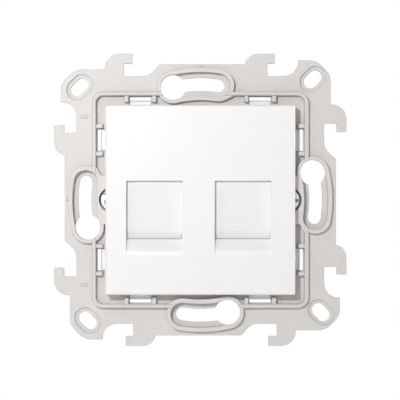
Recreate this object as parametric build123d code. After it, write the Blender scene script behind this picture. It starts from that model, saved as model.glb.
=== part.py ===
from build123d import *
import os
from math import cos, radians, sin

# Twin data socket in a moulded mounting frame, as it hangs on a wall, in millimetres.
# X points right and Z up. The front faces -Y and the wall's surface is the plane Y = 0.
# A height is a distance in front of the wall, so a height below zero lies in the wall box.
# The origin is the centre of the frame's back face.

# Mounting frame: outline of one side, the other three are turned copies
body_half = 35.4            # middle of a side
lobe_bulge = 1.05           # corner lobe past the side's middle
lobe_step = 1.35            # the same lobe short of the next side's middle
lobe_length = 9.85
lobe_chamfer = 3.75
lobe_corner_r = 4.4
hook_reach = 2.75           # hook tops past the side's middle
hook_throat = 0.2           # underside of the hook tips past it
channel_depth = 3.05
hook_a_left, hook_a_stem, hook_a_tip = -24.93, -19.98, -17.75
hook_b_left, hook_b_stem, hook_b_tip = 11.66, 17.53, 19.48
hook_b_lean = 0.7
hook_a_r = 3.8
hook_b_r = 3.4
channel_ramp_foot, channel_ramp_top = -13.3, -10.73
channel_ramp_r = 4.0
channel_ramp_top_r = 1.0
channel_end_r = 3.8

# Mounting frame: heights and raised forms
plate_height = 2.2
ledge_top = 1.8
ledge_back = 0.8
rim_height = 4.2
rim_inner_half = 27.15
rim_wall = 1.05
rim_corner_r = 1.9
rim_edge = 0.2
rib_width = 1.05
rib_length = 1.7
rib_gap = 0.28              # from the opening's side to the rib
rib_height = 3.9
aperture_half = 22.6
pad_reach = 20.3            # how near the pads come to the middle
pad_half = 6.4
pad_height = 4.0

# Keyholes
slot_circle_r = 30.2
slot_width = 3.4
hole_r = 3.3
hole_angle = 13.6           # degrees before the middle of the side
slot_end_angle = 8.8        # degrees past the middle of the side
recess_width = 6.2
recess_floor = 1.0
lip_band = 8.5              # overall width of the raised lips
lip_height = 4.0
gusset = [(4.0, -0.75), (6.5, -1.15), (8.45, -0.2), (8.45, 0.25), (4.0, 0.25)]  # from the rim's face

# Corner slots
corner_slot_far, corner_slot_near = 31.5, 29.4
corner_slot_width = 3.4
corner_slot_travel = 1.9
corner_recess_margin = 1.0
corner_recess_floor = 1.7

# Clip openings and the cover's clip legs
opening_place = 15.62
opening_width = 5.6
opening_depth = 2.1
opening_from_rim = 0.3
leg_side_gap = 0.08
leg_gap = 0.1
leg_thickness = 1.1
leg_flange = 0.7
leg_bevel = 0.3
leg_barb = 0.7
leg_slit = 0.8

# Cover
cover_size = 49.1
cover_front = 8.4
cover_wall = 1.8
cover_corner_r = 0.5
cover_edge = 0.3
skirt_wall = 1.3
skirt_end = 1.95
skirt_pad_gap = 0.2
nib_place = 15.1
nib_width = 1.0
nib_proud = 0.25
nib_low, nib_high = 5.6, 7.6

# Windows, one over each jack
jack_pitch = 22.9
pair_shift = -0.4
window_width = 14.6
window_top, window_sill = 4.93, -10.15
ramp_end = -13.3
ramp_depth = 1.6
ramp_blend_r = 4.2
sill_depth = 4.4

# Shutters
shutter_gap = 0.15
shutter_overlap = 1.0
shutter_thickness = 1.2
shutter_top = 6.6
shutter_travel = 12.6
lip_reach = 0.6
lip_side_gap = 0.4
lip_crest = 0.85            # from the shutter's foot to the lip's crest
lip_rise = 1.9
rail_wall = 1.0
rail_margin = 0.4           # rail left above the raised shutter
shelf_half = 2.0
shelf_thickness = 1.2

# Shutter springs
spring_r = 1.6
spring_wire = 0.35          # square wire, coiled in short straight pieces
spring_turns = 5
spring_pieces = 8           # straight pieces in a turn
spring_seat = 22.6
spring_end_gap = 0.12
peg_width = 1.3
peg_length = 1.7
nub_length = 0.9

# Jack carrier
carrier_plate = 1.0
carrier_bottom, carrier_top = -15.2, 20.5
cell_gap = 0.1
cell_wall = 0.9
cell_back = -7.0
port_margin = 0.4           # round the port, in the carrier's plate
clip_place = 15.0
clip_width = 3.0
clip_wall = 1.0
clip_barb = 0.7
clip_barb_depth = 0.75

# Jack housing
jack_width = 14.4
jack_bottom, jack_top = -12.3, 3.9
jack_back = -9.9
port_width = 11.8
port_floor, port_ceiling = -5.6, 1.2
port_back = -8.4
latch_steps = [(6.4, 1.3), (3.4, 1.5)]
latch_back = -5.0
lug_width = 5.2
lug_low, lug_high = -1.4, 0.0
lug_proud = 0.8
lug_gap = 0.15
wire_count = 8
wire_pitch = 1.02
comb_slot = 0.6
comb_top = 3.0
comb_front = 2.6

# Contact wires
wire_width = 0.36
wire_thickness = 0.3
wire_level = 2.5
wire_front = 1.7
wire_tip_height, wire_tip_level = -6.0, -0.95

# Circuit board and terminal block
board_thickness = 1.2
block_base = 1.9
tower_height = 6.4
tower_inner = 2.8
block_margin = 0.2
terminal_pitch = 3.9
terminal_rows = 4
wire_slot_width = 1.1
wire_slot_depth = 5.2
blade_thickness = 0.4
blade_width = 2.4
blade_gap = 0.05
blade_end_gap = 0.6
blade_notch = 0.45
blade_notch_depth = 4.2

# Wire cap
cap_gap = 0.1
cap_lid = 1.7
cap_skirt = 0.8
cap_skirt_depth = 4.5
cap_hole_width, cap_hole_length = 4.6, 12.0

# Claw screws, seen beside the cover
screw_place = 23.08
screw_r = 1.75
screw_hole_gap = 0.2
screw_head_r = 2.9
screw_head_height = 1.8
screw_seat = 1.9
screw_seat_gap = 0.4
screw_end = -23.6
drive_slot_width, drive_slot_depth = 0.75, 0.9
drive_cross_width, drive_cross_length = 0.8, 3.0

# Claw cheeks, pin, claw and nut
cheek_inner = 2.95
cheek_wall = 1.1
cheek_near, cheek_far = 20.9, 27.9
cheek_end_margin = 1.6
pivot_place, pivot_depth = 26.6, 17.0
pin_r = 0.8
pin_fit = 0.02
pin_running_fit = 0.05
knuckle_r = 1.3
claw_thickness = 1.2
claw_side_gap = 0.2
claw_front_depth = 6.5
tooth_reach = 1.0
tooth_count = 3
tooth_pitch = 1.4
tooth_flat = 0.2
fork_end_margin = 0.45
fork_gap = 0.25
nut_half = 2.5
nut_sides = 8
nut_gap = 0.1
nut_running_fit = 0.05

# Raised marks on the frame: two plain arrows and a tick in the middle of each side
mark_height = 0.15
arrow_levels = (21.7, -22.2)
arrow_length, arrow_width = 2.2, 1.1
arrow_head, arrow_shaft_width = 0.9, 0.5
tick_width, tick_length = 0.35, 0.8

# Worked out from the sizes above
lobe_half = body_half + lobe_bulge
lobe_top = body_half - lobe_step
lobe_start = body_half - lobe_length
hook_top = body_half + hook_reach
hook_under = body_half + hook_throat
channel_floor = body_half - channel_depth
rim_outer_half = rim_inner_half + rim_wall
opening_outer = rim_inner_half - opening_from_rim
opening_inner = opening_outer - opening_depth
jack_places = {"left": pair_shift - jack_pitch / 2, "right": pair_shift + jack_pitch / 2}
cover_half = cover_size / 2
cover_back = cover_front - cover_wall
shutter_front = cover_back - shutter_gap
shutter_back = shutter_front - shutter_thickness
shutter_half = window_width / 2 + shutter_overlap
shutter_bottom = window_sill + leg_gap
rail_top = shutter_top + shutter_travel + rail_margin
plate_front = shutter_back - shutter_gap
plate_back = plate_front - carrier_plate
spring_height = shutter_front - spring_r
leg_half = opening_width / 2 - leg_side_gap
jack_middle = (jack_bottom + jack_top) / 2
board_back = jack_back - board_thickness
tower_foot = board_back - block_base
tower_end = tower_foot - tower_height
cap_face = tower_end - cap_gap
screw_axis_hole_r = screw_r + screw_hole_gap
claw_half = cheek_inner - claw_side_gap
nut_depth = pivot_depth + claw_thickness / 2 + nut_gap + nut_half


def slab(profile, low, high):
    """A profile drawn in X and Z, solid between two heights in front of the wall."""
    return extrude(Plane.XZ.offset(low) * profile, amount=high - low)


def rect(left, low, right, high):
    """A rectangle between two corners."""
    return Pos((left + right) / 2, (low + high) / 2) * Rectangle(right - left, high - low)


def block(left, right, low, high, bottom, top):
    """A box from left to right in X, low to high in height and bottom to top in Z."""
    return slab(rect(left, bottom, right, top), low, high)


def side_profile(points, half_width, middle=0.0):
    """A profile of height and level points, solid across X."""
    flat = Plane.YZ * make_face(Polyline([(-h, z) for h, z in points], close=True))
    return Pos(middle, 0, 0) * extrude(flat, amount=half_width, both=True)


def top_profile(points, half_width, level=0.0):
    """A profile of X and height points, solid along Z."""
    flat = make_face(Polyline([(x, -h) for x, h in points], close=True))
    return Pos(0, 0, level) * extrude(flat, amount=half_width, both=True)


def on_sides(shape):
    """The four copies of a flat shape drawn for the upper side."""
    return [Rot(0, 0, -90 * side) * shape for side in range(4)]


def rounded_square(half, radius):
    return RectangleRounded(2 * half, 2 * half, radius)


# Mounting frame

def side_corners():
    """Corners and their radii along the upper side, from the left lobe to the right one."""
    lobe_low = lobe_top - lobe_chamfer
    hook_b_corner = hook_b_left + hook_b_lean
    return [
        ((-lobe_half, lobe_start), 0),
        ((-lobe_half, lobe_low), lobe_corner_r),
        ((-lobe_half + lobe_chamfer, lobe_top), lobe_corner_r),
        ((hook_a_left, lobe_top), 0),
        ((hook_a_left, hook_top), hook_a_r),
        ((hook_a_tip, hook_top), 0),
        ((hook_a_tip, hook_under), 0),
        ((hook_a_stem, hook_under), 0),
        ((hook_a_stem, channel_floor), 0),
        ((channel_ramp_foot, channel_floor), channel_ramp_r),
        ((channel_ramp_top, body_half), channel_ramp_top_r),
        ((hook_b_left, body_half), 0),
        ((hook_b_corner, hook_top), hook_b_r),
        ((hook_b_tip, hook_top), 0),
        ((hook_b_tip, hook_under), 0),
        ((hook_b_stem, hook_under), 0),
        ((hook_b_stem, channel_floor), 0),
        ((lobe_start, channel_floor), channel_end_r),
    ]


def frame_outline():
    corners = []
    for side in range(4):
        turn = radians(-90 * side)
        for (x, z), radius in side_corners():
            point = (x * cos(turn) - z * sin(turn), x * sin(turn) + z * cos(turn))
            corners.append((point, radius))
    points = [point for point, _ in corners]
    radii = [radius for _, radius in corners]
    return make_face(FilletPolyline(points, radius=radii, close=True))


def keyhole_band(width):
    """A band of the given width along the upper keyhole's arc."""
    span = hole_angle + slot_end_angle
    return SlotArc(CenterArc((0, 0), slot_circle_r, 90 - slot_end_angle, span), width)


def keyhole_opening():
    turn = radians(90 + hole_angle)
    centre = (slot_circle_r * cos(turn), slot_circle_r * sin(turn))
    return keyhole_band(slot_width) + Pos(*centre) * Circle(hole_r)


def corner_slots(margin):
    """The four corner slots, or their recesses when a margin is given."""
    far, near = corner_slot_far, corner_slot_near
    places = [(-far, near, 45), (near, far, 45), (far, -near, -45), (-near, -far, -45)]
    slot = SlotCenterToCenter(corner_slot_travel, corner_slot_width + 2 * margin)
    return [Pos(x, z) * Rot(0, 0, angle) * slot for x, z, angle in places]


def frame_plate():
    """The flat plate with its stepped ledge inside the rim."""
    plate = slab(frame_outline(), 0, plate_height)
    return plate - slab(rounded_square(rim_inner_half, rim_corner_r), ledge_top, rim_height)


def frame_rim():
    outer = rounded_square(rim_outer_half, rim_corner_r + rim_wall)
    ring = slab(outer - rounded_square(rim_inner_half, rim_corner_r), 0, rim_height)
    return chamfer(ring.faces().sort_by(Axis.Y)[0].edges(), rim_edge)


def keyhole_lips():
    lip = slab(keyhole_band(lip_band), 0, lip_height)
    corners = [(x, rim_inner_half + offset) for x, offset in gusset]
    lip += slab(make_face(Polyline(corners, close=True)), 0, lip_height)
    return [Rot(0, 90 * side, 0) * lip for side in range(4)]


def screw_pads():
    outer = rim_inner_half + rim_wall / 2
    return [block(pad_reach, outer, 0, pad_height, -pad_half, pad_half),
            block(-outer, -pad_reach, 0, pad_height, -pad_half, pad_half)]


def opening_ribs():
    """Short ribs inside the rim, one on each side of every clip opening."""
    offset = opening_width / 2 + rib_gap + rib_width / 2
    ribs = []
    for middle in (-opening_place, opening_place):
        for place in (middle - offset, middle + offset):
            profile = rect(place - rib_width / 2, rim_inner_half - rib_length,
                           place + rib_width / 2, rim_inner_half + rim_wall / 2)
            rib = slab(profile, ledge_back, rib_height)
            ribs += [Rot(0, 90 * side, 0) * rib for side in range(4)]
    return ribs


def claw_cheeks():
    """Two pairs of cheeks behind the frame, drilled for the claws' pins."""
    end = -(pivot_depth + cheek_end_margin)
    cheeks = []
    for side in (-1, 1):
        near, far = sorted((side * cheek_near, side * cheek_far))
        for level in (-1, 1):
            low, high = sorted((level * cheek_inner, level * (cheek_inner + cheek_wall)))
            cheeks.append(block(near, far, end, 0, low, high))
    return cheeks


def pin_bore(side, radius, half_length):
    """A cylinder on a claw's pivot line."""
    return Pos(side * pivot_place, pivot_depth, 0) * Cylinder(radius, 2 * half_length)


def raised_marks():
    neck = arrow_length - arrow_head
    arrow = rect(0, -arrow_shaft_width / 2, neck, arrow_shaft_width / 2)
    arrow += make_face(Polyline([(neck, -arrow_width / 2), (arrow_length, 0),
                                 (neck, arrow_width / 2)], close=True))
    tail = -(rim_outer_half + channel_floor + arrow_length) / 2
    tick = Pos(0, body_half - tick_length) * Rectangle(tick_width, tick_length)
    low, high = plate_height - mark_height, plate_height + mark_height
    marks = [slab(Pos(tail, level) * arrow, low, high) for level in arrow_levels]
    return marks + [slab(flat, low, high) for flat in on_sides(tick)]


def mounting_frame():
    frame = frame_plate() + frame_rim() + keyhole_lips() + screw_pads() + opening_ribs()
    frame += claw_cheeks()
    frame += raised_marks()
    aperture = Rectangle(2 * aperture_half, 2 * aperture_half)
    for side in (-1, 1):
        near, far = sorted((side * pad_reach, side * aperture_half))
        aperture -= rect(near, -pad_half, far, pad_half)
    cuts = [slab(aperture, -plate_height, rim_height)]
    for flat in on_sides(keyhole_band(recess_width)):
        cuts.append(slab(flat, recess_floor, rim_height))
    for flat in on_sides(keyhole_opening()):
        cuts.append(slab(flat, -plate_height, rim_height))
    for flat in corner_slots(corner_recess_margin):
        cuts.append(slab(flat, corner_recess_floor, rim_height))
    for flat in corner_slots(0):
        cuts.append(slab(flat, -plate_height, rim_height))
    for middle in (-opening_place, opening_place):
        half = opening_width / 2
        opening = rect(middle - half, opening_inner, middle + half, opening_outer)
        pocket = rect(middle - half, aperture_half - rib_gap, middle + half, opening_outer)
        cuts += [slab(flat, -plate_height, ledge_top + plate_height) for flat in on_sides(opening)]
        cuts += [slab(flat, -plate_height, ledge_back) for flat in on_sides(pocket)]
    for side in (-1, 1):
        spot = Pos(side * screw_place, 0)
        cuts.append(slab(spot * Circle(screw_axis_hole_r), -plate_height, rim_height))
        cuts.append(slab(spot * Circle(screw_head_r + screw_seat_gap), screw_seat, rim_height))
        cuts.append(pin_bore(side, pin_r + pin_fit, cheek_inner + 2 * cheek_wall))
    return frame - cuts


# Cover

def clip_leg():
    """One springy leg of the right side: down the skirt, out and through its opening."""
    inner = cover_half - skirt_wall
    foot_end = leg_gap / 2
    catch = ledge_back - leg_gap
    leg_in = opening_inner + leg_gap
    leg_out = leg_in + leg_thickness
    flange_low = ledge_top + leg_gap
    flange_top = flange_low + leg_flange
    return top_profile([
        (inner, pad_height), (inner, flange_low), (leg_in, flange_low),
        (leg_in, catch), (leg_in - leg_barb, catch), (leg_in - leg_barb, catch - leg_gap),
        (leg_in, foot_end), (leg_out, foot_end), (leg_out, flange_top - leg_bevel),
        (leg_out - leg_bevel, flange_top), (cover_half, flange_top), (cover_half, pad_height),
    ], leg_half)


def clip_legs():
    legs = []
    for middle in (-opening_place, opening_place):
        legs += [Rot(0, 90 * side, 0) * Pos(0, 0, middle) * clip_leg() for side in range(4)]
    return legs


def leg_slits():
    """Slits beside each leg, which let its strip of the skirt bend."""
    slits = []
    depth = 2 * skirt_wall
    for middle in (-opening_place, opening_place):
        for side in (-1, 1):
            place = middle + side * (leg_half + leg_slit / 2)
            slit = rect(place - leg_slit / 2, cover_half - depth, place + leg_slit / 2,
                        cover_half + depth)
            slits += [slab(flat, 0, cover_back) for flat in on_sides(slit)]
    return slits


def window_ramp(middle):
    """The scoop below a window, which blends into the front face."""
    front = cover_front
    above = cover_front + cover_wall
    path = FilletPolyline([(-(front - ramp_depth), window_sill), (-front, ramp_end),
                           (-front, ramp_end - sill_depth / 2)], radius=[ramp_blend_r])
    end = ramp_end - sill_depth / 2
    close = Polyline([(-front, end), (-above, end), (-above, window_sill + leg_gap),
                      (-(front - ramp_depth), window_sill + leg_gap),
                      (-(front - ramp_depth), window_sill)])
    flat = Plane.YZ * make_face(Curve() + path + close)
    return Pos(middle, 0, 0) * extrude(flat, amount=window_width / 2, both=True)


def shutter_rails(middle):
    inner = shutter_half + shutter_gap
    outer = inner + rail_wall
    return [block(middle + inner, middle + outer, plate_front, cover_back, window_sill, rail_top),
            block(middle - outer, middle - inner, plate_front, cover_back, window_sill, rail_top)]


def spring_seat_block(middle):
    """The block under the cover's top edge that the spring pushes on, with its peg."""
    seat = block(middle - shelf_half, middle + shelf_half, spring_height - spring_r, cover_back,
                 spring_seat, cover_half - skirt_wall / 2)
    peg = Pos(middle, -spring_height, spring_seat - peg_length / 2)
    return seat + peg * Box(peg_width, peg_width, peg_length)


def carrier_clips():
    """Four hooks inside the cover that hold the jack carrier."""
    catch = plate_back - leg_gap / 2
    clips = []
    for edge, out in ((carrier_top, 1), (carrier_bottom, -1)):
        near = edge + out * leg_gap
        far = near + out * clip_wall
        tip = near - out * clip_barb
        hook = [(cover_back, near), (catch, near), (catch, tip), (catch - leg_gap, tip),
                (catch - clip_barb_depth, near), (catch - clip_barb_depth, far), (cover_back, far)]
        clips += [side_profile(hook, clip_width / 2, place) for place in (-clip_place, clip_place)]
    return clips


def cover_nibs():
    """Small nibs on the cover's edges, which centre the trim frame."""
    nibs = []
    for place in (-nib_place, nib_place):
        flat = Pos(place, cover_half) * Rectangle(nib_width, 2 * nib_proud)
        nibs += [slab(turned, nib_low, nib_high) for turned in on_sides(flat)]
    return nibs


def cover_plate():
    outer = rounded_square(cover_half, cover_corner_r)
    shell = slab(outer, skirt_end, cover_front)
    shell = chamfer(shell.faces().sort_by(Axis.Y)[0].edges(), cover_edge)
    hollow = slab(rounded_square(cover_half - skirt_wall, cover_corner_r), 0, cover_back)
    notch = block(-cover_size, cover_size, 0, pad_height + skirt_pad_gap,
                  -pad_half - skirt_pad_gap, pad_half + skirt_pad_gap)
    cover = shell - hollow - notch - leg_slits()
    cover += clip_legs()
    cover += carrier_clips()
    cover += cover_nibs()
    for middle in jack_places.values():
        sill_half = shutter_half
        cover += block(middle - sill_half, middle + sill_half, plate_front, cover_back,
                       window_sill - sill_depth, window_sill)
        cover += shutter_rails(middle)
        cover += spring_seat_block(middle)
        cover -= block(middle - window_width / 2, middle + window_width / 2, cover_back,
                       cover_front, window_sill, window_top)
        cover -= window_ramp(middle)
    return cover


# Shutters

def shutter(middle):
    """A flap with a finger lip at its foot and a shelf for its spring at its head."""
    flap = block(middle - shutter_half, middle + shutter_half, shutter_back, shutter_front,
                 shutter_bottom, shutter_top)
    root = (shutter_back + shutter_front) / 2
    lip = side_profile([
        (root, shutter_bottom), (shutter_front, shutter_bottom),
        (shutter_front + lip_reach, shutter_bottom + lip_crest),
        (shutter_front, shutter_bottom + lip_rise), (root, shutter_bottom + lip_rise),
    ], window_width / 2 - lip_side_gap, middle)
    shelf = block(middle - shelf_half, middle + shelf_half, spring_height - spring_r, shutter_front,
                  shutter_top - shelf_thickness, shutter_top)
    nub = Pos(middle, -spring_height, shutter_top + nub_length / 2)
    return flap + lip + shelf + nub * Box(peg_width, peg_width, nub_length)


def shutter_spring(middle):
    """A light compression spring between the shutter's shelf and the cover's seat."""
    wire_half = spring_wire / 2
    foot = shutter_top + spring_end_gap + wire_half
    length = spring_seat - spring_end_gap - wire_half - foot
    path = Helix(pitch=length / spring_turns, height=length, radius=spring_r - wire_half)
    pieces = spring_turns * spring_pieces
    sections = []
    for index in range(pieces + 1):
        spot = path @ (index / pieces)
        outward, along = Vector(spot.X, spot.Y, 0), Vector(-spot.Y, spot.X, 0)
        across = Plane(origin=spot, x_dir=outward, z_dir=along)
        sections.append(across * Rectangle(spring_wire, spring_wire))
    return Pos(middle, -spring_height, foot) * loft(sections, ruled=True)


# Jack carrier

def carrier_lug_slots(middle):
    half = lug_width / 2 + lug_gap
    reach = cell_gap + 2 * cell_wall
    low, high = lug_low - lug_gap, lug_high + lug_gap
    return [block(middle - half, middle + half, low, high, jack_top - cell_gap, jack_top + reach),
            block(middle - half, middle + half, low, high, jack_bottom - reach,
                  jack_bottom + cell_gap)]


def jack_carrier():
    """A front plate that closes the shutter channels, with an open cell for each jack."""
    left = jack_places["left"] - shutter_half - rail_wall
    right = jack_places["right"] + shutter_half + rail_wall
    carrier = block(left, right, plate_back, plate_front, carrier_bottom, carrier_top)
    port_half = port_width / 2 + port_margin
    for middle in jack_places.values():
        inner_half = jack_width / 2 + cell_gap
        outer_half = inner_half + cell_wall
        carrier += block(middle - outer_half, middle + outer_half, cell_back, plate_back,
                         jack_bottom - cell_gap - cell_wall, jack_top + cell_gap + cell_wall)
        carrier -= block(middle - inner_half, middle + inner_half, cell_back, plate_back,
                         jack_bottom - cell_gap, jack_top + cell_gap)
        carrier -= block(middle - port_half, middle + port_half, plate_back, plate_front,
                         window_sill + port_margin, port_ceiling + port_margin)
        carrier -= block(middle - shelf_half - leg_side_gap, middle + shelf_half + leg_side_gap,
                         plate_back, plate_front, shutter_top - shelf_thickness - leg_gap,
                         carrier_top)
        carrier -= carrier_lug_slots(middle)
    return carrier


# Jacks

def wire_places():
    return [(index - (wire_count - 1) / 2) * wire_pitch for index in range(wire_count)]


def jack_housing(middle):
    """A modular port with a stepped latch way below it and a comb for the wires above it."""
    half = jack_width / 2
    housing = block(-half, half, jack_back, plate_back, jack_bottom, jack_top)
    for low, high in ((jack_top, jack_top + lug_proud), (jack_bottom - lug_proud, jack_bottom)):
        housing += block(-lug_width / 2, lug_width / 2, lug_low, lug_high, low, high)
    housing -= block(-port_width / 2, port_width / 2, port_back, plate_back, port_floor,
                     port_ceiling)
    level = port_floor
    for width, rise in latch_steps:
        housing -= block(-width / 2, width / 2, latch_back, plate_back, level - rise, level)
        level -= rise
    for place in wire_places():
        housing -= block(place - comb_slot / 2, place + comb_slot / 2, jack_back, comb_front,
                         port_ceiling, comb_top)
    return Pos(middle, 0, 0) * housing


def jack_contacts(middle):
    """Eight flat spring wires, from the board forward over the port and back down into it."""
    half = wire_thickness / 2
    slope = (wire_level - wire_tip_level) / (wire_front - wire_tip_height)
    inner_bend = wire_tip_height + (wire_level - wire_tip_level - wire_thickness) / slope
    profile = [
        (jack_back, wire_level - half), (jack_back, wire_level + half),
        (wire_front - wire_thickness, wire_level + half), (wire_front, wire_level),
        (wire_front - half, wire_level - half), (wire_tip_height, wire_tip_level - half),
        (wire_tip_height, wire_tip_level + half), (inner_bend, wire_level - half),
    ]
    wires = [side_profile(profile, wire_width / 2, middle + place) for place in wire_places()]
    return Compound([wire.solid() for wire in wires])


def circuit_board(middle):
    half = jack_width / 2
    return block(middle - half, middle + half, board_back, jack_back, jack_bottom, jack_top)


def terminal_places():
    """Side and level of each terminal, as pairs."""
    first = jack_middle - (terminal_rows - 1) / 2 * terminal_pitch
    levels = [first + row * terminal_pitch for row in range(terminal_rows)]
    tower_outer = jack_width / 2 - block_margin
    return [(side * (tower_inner + tower_outer) / 2, level) for side in (-1, 1) for level in levels]


def terminal_block(middle):
    """A base and two towers, slotted across for the cable's wires."""
    half = jack_width / 2
    outer = half - block_margin
    body = block(-half, half, tower_foot, board_back, jack_bottom, jack_top)
    body += block(tower_inner, outer, tower_end, tower_foot, jack_bottom, jack_top)
    body += block(-outer, -tower_inner, tower_end, tower_foot, jack_bottom, jack_top)
    tower_half = (outer - tower_inner) / 2
    pocket_half = blade_thickness / 2 + blade_gap
    blade_half = blade_width / 2 + blade_gap
    for x, level in terminal_places():
        body -= block(x - tower_half, x + tower_half, tower_end, tower_end + wire_slot_depth,
                      level - wire_slot_width / 2, level + wire_slot_width / 2)
        body -= block(x - pocket_half, x + pocket_half, tower_end, board_back,
                      level - blade_half, level + blade_half)
    return Pos(middle, 0, 0) * body


def terminal_blades(middle):
    """Forked blades that cut into the wires, one in each pocket."""
    end = tower_end + blade_end_gap
    blades = []
    for x, level in terminal_places():
        blade = block(x - blade_thickness / 2, x + blade_thickness / 2, end, board_back,
                      level - blade_width / 2, level + blade_width / 2)
        lead = blade_width / 2 - blade_notch / 2
        notch = side_profile([
            (end, level - blade_notch / 2 - lead / 2), (end, level + blade_notch / 2 + lead / 2),
            (end + lead / 2, level + blade_notch / 2),
            (end + blade_notch_depth, level + blade_notch / 2),
            (end + blade_notch_depth, level - blade_notch / 2),
            (end + lead / 2, level - blade_notch / 2),
        ], blade_thickness, x)
        blades.append(blade - notch)
    return Pos(middle, 0, 0) * Compound([blade.solid() for blade in blades])


def wire_cap(middle):
    """A lid over the terminals with a skirt outside each tower and a hole for the cable."""
    inner = jack_width / 2 - block_margin + cap_gap
    outer = inner + cap_skirt
    lid = block(-outer, outer, cap_face - cap_lid, cap_face, jack_bottom, jack_top)
    for side in (-1, 1):
        near, far = sorted((side * inner, side * outer))
        lid += block(near, far, cap_face, cap_face + cap_skirt_depth, jack_bottom, jack_top)
    hole = Pos(0, jack_middle) * Rectangle(cap_hole_width, cap_hole_length)
    lid -= slab(hole, cap_face - cap_lid, cap_face)
    return Pos(middle, 0, 0) * lid


# Spreader claws

def claw_screw(side):
    """A long screw with a combined slot and cross drive; its thread is left plain."""
    spot = Pos(side * screw_place, 0)
    head = slab(spot * Circle(screw_head_r), screw_seat, screw_seat + screw_head_height)
    head = chamfer(head.faces().sort_by(Axis.Y)[0].edges(), rim_edge)
    top = screw_seat + screw_head_height
    drive = Rectangle(2 * screw_head_r, drive_slot_width)
    drive += Rectangle(drive_cross_width, drive_cross_length)
    drive += Rectangle(drive_cross_length, drive_cross_width)
    head -= slab(spot * drive, top - drive_slot_depth, top)
    return head + slab(spot * Circle(screw_r), screw_end, screw_seat)


def claw_profile():
    """The right claw seen from above: knuckle, fork towards the screw, toothed arm."""
    half = claw_thickness / 2
    fork_end = screw_place - screw_r - fork_end_margin
    arm_out = pivot_place + half
    fork = rect(fork_end, pivot_depth - half, pivot_place, pivot_depth + half)
    points = [(pivot_place - half, pivot_depth), (pivot_place - half, claw_front_depth),
              (arm_out, claw_front_depth)]
    for tooth in range(tooth_count):
        start = claw_front_depth + tooth * tooth_pitch
        points += [(arm_out + tooth_reach, start), (arm_out, start + tooth_pitch - tooth_flat)]
    points.append((arm_out, pivot_depth))
    arm = make_face(Polyline(points, close=True))
    return fork + arm + Pos(pivot_place, pivot_depth) * Circle(knuckle_r)


def claw(side):
    blank = extrude(claw_profile(), amount=claw_half, both=True)
    gap = screw_r + fork_gap
    blank -= block(0, screw_place + gap, -pivot_depth - claw_thickness,
                   -pivot_depth + claw_thickness, -gap, gap)
    blank -= pin_bore(1, pin_r + pin_running_fit, 2 * claw_half)
    return blank if side > 0 else mirror(blank, about=Plane.YZ)


def claw_nut(side):
    """A barrel nut with flats that draws the claw's fork forward."""
    profile = Rot(0, 0, 180 / nut_sides) * RegularPolygon(nut_half, nut_sides, major_radius=False)
    barrel = extrude(profile, amount=claw_half, both=True)
    bore = Rot(90, 0, 0) * Cylinder(screw_r + nut_running_fit, 3 * nut_half)
    return Pos(side * screw_place, nut_depth, 0) * (barrel - bore)


def claw_pin(side):
    return pin_bore(side, pin_r, cheek_inner + cheek_wall)


def all_parts():
    parts = {"mounting_frame": mounting_frame(), "cover_plate": cover_plate(),
             "jack_carrier": jack_carrier()}
    for name, middle in jack_places.items():
        parts[name + "_shutter"] = shutter(middle)
        parts[name + "_shutter_spring"] = shutter_spring(middle)
        parts[name + "_jack_housing"] = jack_housing(middle)
        parts[name + "_jack_contacts"] = jack_contacts(middle)
        parts[name + "_circuit_board"] = circuit_board(middle)
        parts[name + "_terminal_block"] = terminal_block(middle)
        parts[name + "_terminal_blades"] = terminal_blades(middle)
        parts[name + "_wire_cap"] = wire_cap(middle)
    for name, side in (("left", -1), ("right", 1)):
        parts[name + "_claw_screw"] = claw_screw(side)
        parts[name + "_claw"] = claw(side)
        parts[name + "_claw_nut"] = claw_nut(side)
        parts[name + "_claw_pin"] = claw_pin(side)
    return parts


os.makedirs("parts", exist_ok=True)
for node, shape in all_parts().items():
    export_step(shape, "parts/" + node + ".step")
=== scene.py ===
import math

import bmesh
import bpy
from mathutils import Matrix, Vector


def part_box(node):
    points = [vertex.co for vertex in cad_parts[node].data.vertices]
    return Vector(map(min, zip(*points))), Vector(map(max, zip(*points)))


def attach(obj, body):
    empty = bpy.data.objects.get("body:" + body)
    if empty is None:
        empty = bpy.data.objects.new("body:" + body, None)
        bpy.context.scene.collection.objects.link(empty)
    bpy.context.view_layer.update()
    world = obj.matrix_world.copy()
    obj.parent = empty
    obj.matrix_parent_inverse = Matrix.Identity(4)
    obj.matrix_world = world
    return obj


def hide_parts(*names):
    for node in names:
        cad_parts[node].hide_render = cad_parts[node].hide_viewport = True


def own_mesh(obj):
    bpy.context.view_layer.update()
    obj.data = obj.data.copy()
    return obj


# The looks of the twin data socket: materials, light, camera, the claw screws' threads and the
# shutters' coiled springs. All other shapes are the CAD nodes.
# All sizes are in metres, in the CAD's frame: X right, +Y into the wall, Z up, front at -Y.

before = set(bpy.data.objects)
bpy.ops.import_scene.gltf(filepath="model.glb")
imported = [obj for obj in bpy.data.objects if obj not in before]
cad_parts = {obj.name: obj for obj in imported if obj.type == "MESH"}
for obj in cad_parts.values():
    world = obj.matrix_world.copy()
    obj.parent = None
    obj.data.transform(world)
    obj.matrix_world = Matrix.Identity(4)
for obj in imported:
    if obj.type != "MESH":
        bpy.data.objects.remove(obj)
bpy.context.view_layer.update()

MM = 0.001
WHITE = (1.0, 1.0, 1.0, 1.0)
BLACK = (0.0, 0.0, 0.0, 1.0)

# Camera: straight on, through a long lens, framed as in the photograph
CAMERA_DISTANCE = 0.6
FRAME_PLANE = 2.2 * MM              # height in front of the wall at which the scale holds
VIEW_WIDTH = 104.44 * MM            # what the picture's width covers at that height
VIEW_SHIFT_X, VIEW_SHIFT_Z = -0.08 * MM, -0.03 * MM
SENSOR = 36.0                       # the camera's sensor width, in Blender's millimetres

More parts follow.
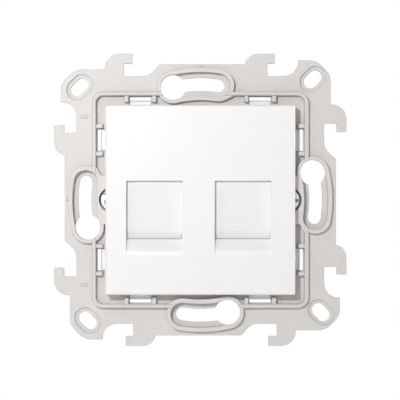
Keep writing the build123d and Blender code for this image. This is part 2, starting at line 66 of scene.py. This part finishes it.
# Lamps: round, turned to the origin, each with its place, its width and its watts
KEY_FROM = Vector((-0.205, -1.0, 0.21))
KEY_DISTANCE = 0.46
LAMPS = {
    "key": (KEY_FROM.normalized() * KEY_DISTANCE, 0.025, 0.955),    # small, for crisp shadows
    "side": ((-0.25, -0.2, 0.25), 0.2, 0.25),
    "edge": ((0.45, 0.02, 0.06), 0.05, 0.55),                       # for the right-hand edges
    "back_left": ((-0.4, 0.65, 0.25), 0.4, 1.5),
    "back_right": ((0.4, 0.65, 0.25), 0.4, 1.5),
}
WORLD_LIGHT = 0.22                  # the world's strength as a light
WORLD_SEEN = 1.0                    # and where it is seen, which is white

FLOOR_LEVEL = -80 * MM
FLOOR_NEAR, FLOOR_FAR, FLOOR_HALF_WIDTH = -1500 * MM, 250 * MM, 1500 * MM
FLOOR_COLOUR = (0.85, 0.85, 0.85, 1.0)
FLOOR_ROUGHNESS = 0.9
FLOOR_GLOW = 0.42                   # added where the floor is seen

# What all materials share
MIX_FIRST, MIX_SECOND, MIX_RESULT = 6, 7, 2     # the Mix node's sockets for colours
NOISE_LOW, NOISE_HIGH = 0.3, 0.7    # nearly all of a noise lies between these
EDGE_SAMPLES, PAINTED_SHADE_SAMPLES = 6, 8
EDGE_FULL = 0.8                     # the cosine of the rounding's tilt where an edge is full
PAINTED_SHADE_FROM, PAINTED_SHADE_FULL = 0.95, 0.35           # how open a hollow is where its painted shade starts, and where the shade is full

# Moulded plastic
PLASTIC_CLOUD, PLASTIC_DETAIL = 60.0, 3.0       # a noise's scale is in waves a metre
FLECK_SCALE = 2500.0
FLECK_LOW, FLECK_HIGH = 0.35, 0.65
FLECK_SHARE = 0.25
GRAIN_DETAIL, GRAIN_ROUGHNESS = 3.0, 0.6
GRAIN_DEPTH = 0.02 * MM
GRAIN_GLOSSIER, GRAIN_DULLER = 0.05, 0.06       # how far the grain moves the roughness
EDGE_POLISH = 0.1                   # how much smoother an edge is

# Plated metal
LINE_SCALES = (4000.0, 400.0, 4000.0)           # machining lines, long in Y
LINE_DETAIL, LINE_ROUGHNESS = 3.0, 0.6
LINE_DEPTH, LINE_STRENGTH = 0.01 * MM, 0.15
METAL_CLOUD, METAL_DETAIL = 300.0, 3.0
METAL_DARK, METAL_LIGHT = 0.9, 1.06
METAL_GLOSSIER, METAL_DULLER = 0.06, 0.08
# painted highlight on the edges, and painted shade in hollows
METAL_EDGE_HIGHLIGHT_SHARE, METAL_EDGE_HIGHLIGHT_TONE = 0.5, 1.2
METAL_SHADE_REACH, METAL_SHADE_TONE = 1 * MM, 0.3

# Circuit board
BOARD_ROUGHNESS, BOARD_COAT = 0.3, 0.3
BOARD_EDGE_RADIUS = 0.1 * MM
BOARD_EDGE_COLOUR = (0.28, 0.22, 0.12, 1.0)
BOARD_CLOUD = 400.0
BOARD_DARK, BOARD_LIGHT = 0.85, 1.15
WEAVE_SCALE = 700.0
WEAVE_DEPTH, WEAVE_STRENGTH = 0.01 * MM, 0.1
TRACK_SCALE, TRACK_WIDTH = 260.0, 0.03
TRACK_SHARE, TRACK_TONE = 0.5, 0.5
SMEAR_SCALE = 900.0
SMEAR_GLOSSIEST, SMEAR_DULLEST = 0.25, 0.4

# The claw screws' right-hand thread. Its pitch is the nut's travel for each turn.
THREAD_PITCH = 0.6 * MM
THREAD_START = 1.6 * MM             # behind the wall's surface
THREAD_CORE_R = 1.45 * MM
THREAD_CREST_R = 1.75 * MM
THREAD_ROOT_HALF = 0.27 * MM        # half the ridge's width at the core, and at its crest
THREAD_CREST_HALF = 0.05 * MM
THREAD_SINK = 0.03 * MM             # how far the ridge's foot goes into the core
THREAD_RISE = 0.5                   # turns over which the ridge rises at its start and its end
THREAD_STEPS = 36                   # a turn
TIP_CHAMFER = 0.5 * MM
WELD = 0.001 * MM                   # points of the CAD mesh nearer than this become one
SCREW_TURNS = {"left_claw_screw": 45, "right_claw_screw": 5}    # degrees, as a driver left them
SHARP_DEGREES = 25                  # between faces that meet in a crisp edge

# The shutters' springs: round wire, with a closed turn at each end
WIRE_R = 0.17 * MM
WIRE_SIDES = 8
COIL_TURNS = 8
COIL_STEPS = 20                     # a turn
CLOSED_RATE = 2.1 * WIRE_R          # rise of a closed turn
CLOSED_PART = 0.5                   # turns at each end that are closed before the coil opens


class Shader:
    """A procedural material, built round one Principled node."""

    def __init__(self, name, roughness, metallic=0.0, coat=0.0):
        self.material = bpy.data.materials.new(name)
        self.material.use_nodes = True
        self.nodes = self.material.node_tree.nodes
        self.links = self.material.node_tree.links
        self.base = self.nodes["Principled BSDF"]
        self.base.inputs["Roughness"].default_value = roughness
        self.base.inputs["Metallic"].default_value = metallic
        self.base.inputs["Coat Weight"].default_value = coat
        self.place = self.nodes.new("ShaderNodeTexCoord").outputs["Object"]

    def wire(self, value, socket):
        """Links an output to a socket, or sets the socket to a plain value."""
        if isinstance(value, bpy.types.NodeSocket):
            self.links.new(value, socket)
        else:
            socket.default_value = value

    def stretched(self, scales):
        """The place on the object, stretched by a different amount along each axis."""
        node = self.nodes.new("ShaderNodeMapping")
        node.inputs["Scale"].default_value = scales
        self.links.new(self.place, node.inputs["Vector"])
        return node.outputs["Vector"]

    def noise(self, scale, detail=2.0, roughness=0.5, place=None):
        node = self.nodes.new("ShaderNodeTexNoise")
        node.inputs["Scale"].default_value = scale
        node.inputs["Detail"].default_value = detail
        node.inputs["Roughness"].default_value = roughness
        self.links.new(place or self.place, node.inputs["Vector"])
        return node.outputs["Fac"]

    def spread(self, value, low, high, to_low=0.0, to_high=1.0):
        """A value from low to high, stretched to another span and held inside it."""
        node = self.nodes.new("ShaderNodeMapRange")
        node.inputs["From Min"].default_value = low
        node.inputs["From Max"].default_value = high
        node.inputs["To Min"].default_value = to_low
        node.inputs["To Max"].default_value = to_high
        self.links.new(value, node.inputs["Value"])
        return node.outputs["Result"]

    def cloud(self, scale, detail=2.0, to_low=0.0, to_high=1.0):
        """Soft patches that run over the whole span."""
        return self.spread(self.noise(scale, detail), NOISE_LOW, NOISE_HIGH, to_low, to_high)

    def maths(self, operation, first, second):
        node = self.nodes.new("ShaderNodeMath")
        node.operation = operation
        self.wire(first, node.inputs[0])
        self.wire(second, node.inputs[1])
        return node.outputs["Value"]

    def mix(self, share, first, second):
        """The first colour where the share is 0, the second where it is 1."""
        node = self.nodes.new("ShaderNodeMix")
        node.data_type = "RGBA"
        self.wire(share, node.inputs[0])
        self.wire(first, node.inputs[MIX_FIRST])
        self.wire(second, node.inputs[MIX_SECOND])
        return node.outputs[MIX_RESULT]

    def soft_edge(self, radius):
        """The normal with its edges rounded, and a value that is 1 on the edges."""
        bevel = self.nodes.new("ShaderNodeBevel")
        bevel.samples = EDGE_SAMPLES
        bevel.inputs["Radius"].default_value = radius
        flat = self.nodes.new("ShaderNodeNewGeometry")
        dot = self.nodes.new("ShaderNodeVectorMath")
        dot.operation = "DOT_PRODUCT"
        self.links.new(bevel.outputs["Normal"], dot.inputs[0])
        self.links.new(flat.outputs["Normal"], dot.inputs[1])
        return bevel.outputs["Normal"], self.spread(dot.outputs["Value"], 1.0, EDGE_FULL)

    def painted_shade_mask(self, distance):
        """Painted shade: a share that is 1 deep in a corner or slot and 0 on open faces, from
        ambient occlusion.
        """
        node = self.nodes.new("ShaderNodeAmbientOcclusion")
        node.samples = PAINTED_SHADE_SAMPLES
        node.inputs["Distance"].default_value = distance
        return self.spread(node.outputs["AO"], PAINTED_SHADE_FROM, PAINTED_SHADE_FULL)

    def bump(self, height, depth, strength, normal):
        node = self.nodes.new("ShaderNodeBump")
        node.inputs["Strength"].default_value = strength
        node.inputs["Distance"].default_value = depth
        self.links.new(height, node.inputs["Height"])
        self.links.new(normal, node.inputs["Normal"])
        return node.outputs["Normal"]

    def finish(self, colour, roughness, normal):
        self.links.new(colour, self.base.inputs["Base Color"])
        self.links.new(roughness, self.base.inputs["Roughness"])
        self.links.new(normal, self.base.inputs["Normal"])
        return self.material


def shade(colour, factor):
    """A colour with every channel times a factor, as four numbers."""
    return tuple(min(1.0, channel * factor) for channel in colour) + (1.0,)


def moulded(name, colour, roughness, grain_size, grain_strength, edge_radius, variation=0.03,
            painted_edge_light=1.05, painted_shade_tone=0.6, painted_shade_reach=0.9 * MM):
    """A moulded plastic: clouded colour, fine spark grain, softened and slightly polished edges,
    painted light on the edges (a highlight where their tone is above 1, shade where it is below 1)
    and painted shade in hollows.
    """
    s = Shader(name, roughness)
    normal, edge = s.soft_edge(edge_radius)
    fleck = s.spread(s.noise(FLECK_SCALE), FLECK_LOW, FLECK_HIGH)
    tone = s.mix(s.cloud(PLASTIC_CLOUD, PLASTIC_DETAIL), shade(colour, 1 - variation),
                 shade(colour, 1 + variation))
    tone = s.mix(s.maths("MULTIPLY", fleck, FLECK_SHARE), tone, shade(colour, 1 - 2 * variation))
    # painted light on the edges: a highlight where the tone is above 1, shade where it is below 1
    tone = s.mix(edge, tone, shade(colour, painted_edge_light))
    # painted shade in corners, slots and recesses
    tone = s.mix(s.painted_shade_mask(painted_shade_reach), tone, shade(colour, painted_shade_tone))
    grain = s.noise(1 / grain_size, GRAIN_DETAIL, GRAIN_ROUGHNESS)
    rough = s.spread(grain, NOISE_LOW, NOISE_HIGH, roughness - GRAIN_GLOSSIER,
                     roughness + GRAIN_DULLER)
    rough = s.maths("SUBTRACT", rough, s.maths("MULTIPLY", edge, EDGE_POLISH))
    return s.finish(tone, rough, s.bump(grain, GRAIN_DEPTH, grain_strength, normal))


def plated(name, colour, roughness, edge_radius):
    """A plated metal with faint machining lines, a painted highlight on its edges and painted shade
    in its hollows.
    """
    s = Shader(name, roughness, metallic=1.0)
    normal, edge = s.soft_edge(edge_radius)
    lines = s.noise(1.0, LINE_DETAIL, LINE_ROUGHNESS, s.stretched(LINE_SCALES))
    cloud = s.cloud(METAL_CLOUD, METAL_DETAIL)
    tone = s.mix(cloud, shade(colour, METAL_DARK), shade(colour, METAL_LIGHT))
    # painted highlight on the edges
    tone = s.mix(s.maths("MULTIPLY", edge, METAL_EDGE_HIGHLIGHT_SHARE), tone,
                 shade(colour, METAL_EDGE_HIGHLIGHT_TONE))
    # painted shade in hollows
    tone = s.mix(s.painted_shade_mask(METAL_SHADE_REACH), tone, shade(colour, METAL_SHADE_TONE))
    rough = s.spread(cloud, 0.0, 1.0, roughness - METAL_GLOSSIER, roughness + METAL_DULLER)
    return s.finish(tone, rough, s.bump(lines, LINE_DEPTH, LINE_STRENGTH, normal))


def laminate(name, mask, copper):
    """A circuit board: glossy mask over a faint weave, tracks showing through, brown edges."""
    s = Shader(name, BOARD_ROUGHNESS, coat=BOARD_COAT)
    normal, edge = s.soft_edge(BOARD_EDGE_RADIUS)
    weave = s.nodes.new("ShaderNodeTexWave")
    weave.inputs["Scale"].default_value = WEAVE_SCALE
    s.links.new(s.place, weave.inputs["Vector"])
    tracks = s.nodes.new("ShaderNodeTexBrick")
    tracks.inputs["Scale"].default_value = TRACK_SCALE
    tracks.inputs["Mortar Size"].default_value = TRACK_WIDTH
    tracks.inputs["Color1"].default_value = BLACK
    tracks.inputs["Color2"].default_value = BLACK
    tracks.inputs["Mortar"].default_value = WHITE
    s.links.new(s.place, tracks.inputs["Vector"])
    tone = s.mix(s.cloud(BOARD_CLOUD), shade(mask, BOARD_DARK), shade(mask, BOARD_LIGHT))
    tone = s.mix(s.maths("MULTIPLY", tracks.outputs["Fac"], TRACK_SHARE), tone,
                 shade(copper, TRACK_TONE))
    tone = s.mix(edge, tone, BOARD_EDGE_COLOUR)
    rough = s.cloud(SMEAR_SCALE, to_low=SMEAR_GLOSSIEST, to_high=SMEAR_DULLEST)
    return s.finish(tone, rough, s.bump(weave.outputs["Fac"], WEAVE_DEPTH, WEAVE_STRENGTH, normal))


# An edge tone above 1 paints a highlight on the edges and one below 1 paints shade on them; the
# hollow tone paints shade in corners and slots.
MATERIALS = {
    "cover": moulded("cover_white", (0.92, 0.907, 0.905), 0.35, 0.12 * MM, 0.3, 0.2 * MM, 0.006,
                     painted_edge_light=1.08, painted_shade_tone=0.98),
    "shutter": moulded("shutter_white", (0.86, 0.86, 0.86), 0.38, 0.12 * MM, 0.3, 0.2 * MM, 0.006,
                       painted_edge_light=1.08, painted_shade_tone=0.97),
    "frame": moulded("frame_grey", (0.705, 0.673, 0.65), 0.4, 0.2 * MM, 0.6, 0.22 * MM, 0.018,
                     painted_edge_light=0.74, painted_shade_tone=0.72, painted_shade_reach=0.35 * MM),
    "carrier": moulded("carrier_white", (0.78, 0.77, 0.75), 0.5, 0.2 * MM, 0.5, 0.15 * MM),
    "housing": moulded("housing_black", (0.03, 0.03, 0.033), 0.42, 0.1 * MM, 0.5, 0.15 * MM, 0.15),
    "terminal": moulded("terminal_white", (0.70, 0.69, 0.66), 0.45, 0.15 * MM, 0.4, 0.12 * MM),
    "cap": moulded("cap_white", (0.74, 0.74, 0.73), 0.42, 0.15 * MM, 0.4, 0.2 * MM),
    "board": laminate("board_green", (0.02, 0.16, 0.06), (0.7, 0.4, 0.2)),
    "gold": plated("contact_gold", (0.86, 0.62, 0.26), 0.25, 0.05 * MM),
    "spring": plated("spring_wire", (0.6, 0.6, 0.62), 0.28, 0.05 * MM),
    "zinc": plated("zinc_plate", (0.80, 0.80, 0.79), 0.42, 0.12 * MM),
}

FINISHES = {
    "mounting_frame": "frame", "cover_plate": "cover", "jack_carrier": "carrier",
    "shutter": "shutter", "shutter_spring": "spring", "jack_housing": "housing",
    "jack_contacts": "gold", "circuit_board": "board", "terminal_block": "terminal",
    "terminal_blades": "gold", "wire_cap": "cap", "claw_screw": "zinc", "claw": "zinc",
    "claw_nut": "zinc", "claw_pin": "zinc",
}


def dress_nodes():
    """Gives each CAD node its material. A left and a right node have the same one."""
    for name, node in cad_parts.items():
        plain = name.removeprefix("left_").removeprefix("right_")
        node.data.materials.clear()
        node.data.materials.append(MATERIALS[FINISHES[plain]])


def bridge(mesh, rings):
    """Joins rings of points, each to the next, and closes both ends."""
    rows = [[mesh.verts.new(point) for point in ring] for ring in rings]
    for near, far in zip(rows, rows[1:]):
        for here in range(len(near)):
            there = (here + 1) % len(near)
            mesh.faces.new((near[here], far[here], far[there], near[there]))
    mesh.faces.new(rows[0])
    mesh.faces.new(list(reversed(rows[-1])))


def new_piece(name, mesh, material, body, node):
    """A piece made of a bmesh, which rides on a body in place of a CAD node."""
    bmesh.ops.recalc_face_normals(mesh, faces=mesh.faces[:])
    data = bpy.data.meshes.new(name)
    mesh.to_mesh(data)
    mesh.free()
    data.shade_smooth()
    data.set_sharp_from_angle(angle=math.radians(SHARP_DEGREES))
    data.materials.append(material)
    piece = bpy.data.objects.new(name, data)
    bpy.context.scene.collection.objects.link(piece)
    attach(piece, body)
    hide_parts(node)
    return piece


def around(angle, radius, depth, centre):
    """A point round a screw's axis. The angle grows clockwise as seen from the front."""
    return Vector((centre.x + radius * math.sin(angle), depth,
                   centre.z + radius * math.cos(angle)))


def thread_core(mesh, centre, end):
    """The thread's core, from inside the neck to a chamfered tip."""
    stations = [(THREAD_START - THREAD_PITCH / 2, THREAD_CORE_R),
                (end - TIP_CHAMFER, THREAD_CORE_R), (end, THREAD_CORE_R - TIP_CHAMFER)]
    bridge(mesh, [[around(2 * math.pi * step / THREAD_STEPS, radius, depth, centre)
                   for step in range(THREAD_STEPS)] for depth, radius in stations])


def thread_ridge(mesh, centre, end):
    """The ridge that winds round the core, and rises out of it at each end."""
    first, last = THREAD_START + THREAD_ROOT_HALF, end - TIP_CHAMFER - THREAD_ROOT_HALF
    steps = int((last - first) / THREAD_PITCH * THREAD_STEPS)
    foot = THREAD_CORE_R - THREAD_SINK
    rings = []
    for step in range(steps + 1):
        angle = 2 * math.pi * step / THREAD_STEPS
        depth = first + THREAD_PITCH * step / THREAD_STEPS
        rise = min(1.0, (min(step, steps - step) + 1) / (THREAD_STEPS * THREAD_RISE))
        crest = foot + (THREAD_CREST_R - foot) * rise
        rings.append([around(angle, radius, depth + offset, centre) for radius, offset in (
            (foot, -THREAD_ROOT_HALF), (crest, -THREAD_CREST_HALF),
            (crest, THREAD_CREST_HALF), (foot, THREAD_ROOT_HALF))])
    bridge(mesh, rings)


def threaded_screw(name, turn):
    """The CAD screw's head and neck, with a threaded shank, turned on its own axis."""
    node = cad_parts[name]
    low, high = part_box(name)
    centre = (Vector(low) + Vector(high)) / 2
    mesh = bmesh.new()
    mesh.from_mesh(node.data)
    bmesh.ops.remove_doubles(mesh, verts=mesh.verts[:], dist=WELD)
    cut = bmesh.ops.bisect_plane(
        mesh, geom=mesh.verts[:] + mesh.edges[:] + mesh.faces[:], plane_co=(0, THREAD_START, 0),
        plane_no=(0, 1, 0), clear_outer=True)
    rim = [part for part in cut["geom_cut"] if isinstance(part, bmesh.types.BMEdge)]
    bmesh.ops.edgeloop_fill(mesh, edges=rim)
    thread_core(mesh, centre, high[1])
    thread_ridge(mesh, centre, high[1])
    bmesh.ops.rotate(mesh, verts=mesh.verts[:], cent=centre, matrix=Matrix.Rotation(turn, 3, "Y"))
    new_piece(name + "_threaded", mesh, MATERIALS["zinc"], name, name)


def ease(value):
    """0 to 1, starting and ending gently."""
    value = max(0.0, min(1.0, value))
    return value * value * (3 - 2 * value)


def coil_levels(bottom, top):
    """The wire's level at each step: closed end turns, open ones between."""
    # each end closes for half a turn and opens over the next, which comes to one closed turn
    open_turns = COIL_TURNS - 2
    open_rate = (top - bottom - 2 * CLOSED_RATE) / open_turns
    levels = [0.0]
    for step in range(COIL_TURNS * COIL_STEPS):
        middle = (step + 0.5) / COIL_STEPS
        opened = ease(middle - CLOSED_PART) * ease(COIL_TURNS - middle - CLOSED_PART)
        levels.append(levels[-1] + (CLOSED_RATE + (open_rate - CLOSED_RATE) * opened) / COIL_STEPS)
    return [bottom + (top - bottom) * level / levels[-1] for level in levels]


def coiled_spring(side):
    """A compression spring, which shortens towards its seat as the shutter opens; here it is built
    at one length, on the socket.
    """
    name = side + "_shutter_spring"
    low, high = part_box(name)
    centre = (Vector(low) + Vector(high)) / 2
    radius = (high[0] - low[0]) / 2 - WIRE_R
    line = []
    for step, level in enumerate(coil_levels(low[2] + WIRE_R, high[2] - WIRE_R)):
        angle = 2 * math.pi * step / COIL_STEPS
        line.append(Vector((centre.x + radius * math.cos(angle),
                            centre.y + radius * math.sin(angle), level)))
    rings = []
    for step, point in enumerate(line):
        along = (line[min(step + 1, len(line) - 1)] - line[max(step - 1, 0)]).normalized()
        outward = Vector((point.x - centre.x, point.y - centre.y, 0)).normalized()
        upward = along.cross(outward).normalized()
        rings.append([point + WIRE_R * (outward * math.cos(2 * math.pi * corner / WIRE_SIDES)
                                        + upward * math.sin(2 * math.pi * corner / WIRE_SIDES))
                      for corner in range(WIRE_SIDES)])
    mesh = bmesh.new()
    bridge(mesh, rings)
    spring = new_piece(name + "_coil", mesh, MATERIALS["spring"], "socket", name)
    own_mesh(spring)


def aim(thing, place, target):
    """Puts a lamp or the camera at a place and turns it to a target."""
    thing.location = place
    thing.rotation_mode = "QUATERNION"
    thing.rotation_quaternion = (Vector(target) - Vector(place)).to_track_quat("-Z", "Y")


def lamp(name, place, width, watts):
    light = bpy.data.lights.new(name, "AREA")
    light.shape = "DISK"
    light.size = width
    light.energy = watts
    holder = bpy.data.objects.new(name, light)
    bpy.context.scene.collection.objects.link(holder)
    aim(holder, place, (0, 0, 0))


def seen_rays(nodes, links):
    """1 for the camera's rays and those that gloss or glass sends on, and 0 for plain light."""
    path = nodes.new("ShaderNodeLightPath")
    value = path.outputs["Is Camera Ray"]
    for kind in ("Is Glossy Ray", "Is Transmission Ray"):
        either = nodes.new("ShaderNodeMath")
        either.operation = "MAXIMUM"
        links.new(value, either.inputs[0])
        links.new(path.outputs[kind], either.inputs[1])
        value = either.outputs["Value"]
    return value


def world_light():
    """A soft even light, and a white background where it is seen."""
    world = bpy.data.worlds.new("studio")
    bpy.context.scene.world = world
    world.use_nodes = True
    nodes, links = world.node_tree.nodes, world.node_tree.links
    background = nodes["Background"]
    background.inputs["Color"].default_value = WHITE
    level = nodes.new("ShaderNodeMapRange")
    level.inputs["To Min"].default_value = WORLD_LIGHT
    level.inputs["To Max"].default_value = WORLD_SEEN
    links.new(seen_rays(nodes, links), level.inputs["Value"])
    links.new(level.outputs["Result"], background.inputs["Strength"])


def floor_material():
    """Pale and plain, and a little brighter where it is seen than it is as a light."""
    material = bpy.data.materials.new("floor_pale")
    material.use_nodes = True
    nodes, links = material.node_tree.nodes, material.node_tree.links
    base = nodes["Principled BSDF"]
    base.inputs["Base Color"].default_value = FLOOR_COLOUR
    base.inputs["Roughness"].default_value = FLOOR_ROUGHNESS
    base.inputs["Emission Color"].default_value = FLOOR_COLOUR
    glow = nodes.new("ShaderNodeMath")
    glow.operation = "MULTIPLY"
    glow.inputs[1].default_value = FLOOR_GLOW
    links.new(seen_rays(nodes, links), glow.inputs[0])
    links.new(glow.outputs["Value"], base.inputs["Emission Strength"])
    return material


def floor():
    corners = [(-FLOOR_HALF_WIDTH, FLOOR_NEAR), (FLOOR_HALF_WIDTH, FLOOR_NEAR),
               (FLOOR_HALF_WIDTH, FLOOR_FAR), (-FLOOR_HALF_WIDTH, FLOOR_FAR)]
    mesh = bpy.data.meshes.new("floor")
    mesh.from_pydata([(x, y, FLOOR_LEVEL) for x, y in corners], [], [(0, 1, 2, 3)])
    mesh.materials.append(floor_material())
    sheet = bpy.data.objects.new("floor", mesh)
    bpy.context.scene.collection.objects.link(sheet)


def camera():
    data = bpy.data.cameras.new("camera")
    data.type = "PERSP"
    data.sensor_width = SENSOR
    data.lens = SENSOR * CAMERA_DISTANCE / VIEW_WIDTH
    view = bpy.data.objects.new("camera", data)
    bpy.context.scene.collection.objects.link(view)
    place = Vector((VIEW_SHIFT_X, -CAMERA_DISTANCE - FRAME_PLANE, VIEW_SHIFT_Z))
    aim(view, place, place + Vector((0, 1, 0)))
    bpy.context.scene.camera = view


dress_nodes()
for side_name in ("left", "right"):
    coiled_spring(side_name)
for screw_name, degrees in SCREW_TURNS.items():
    threaded_screw(screw_name, math.radians(degrees))
for lamp_name, settings in LAMPS.items():
    lamp(lamp_name, *settings)
world_light()
floor()
camera()

bpy.context.scene.view_settings.view_transform = "Standard"
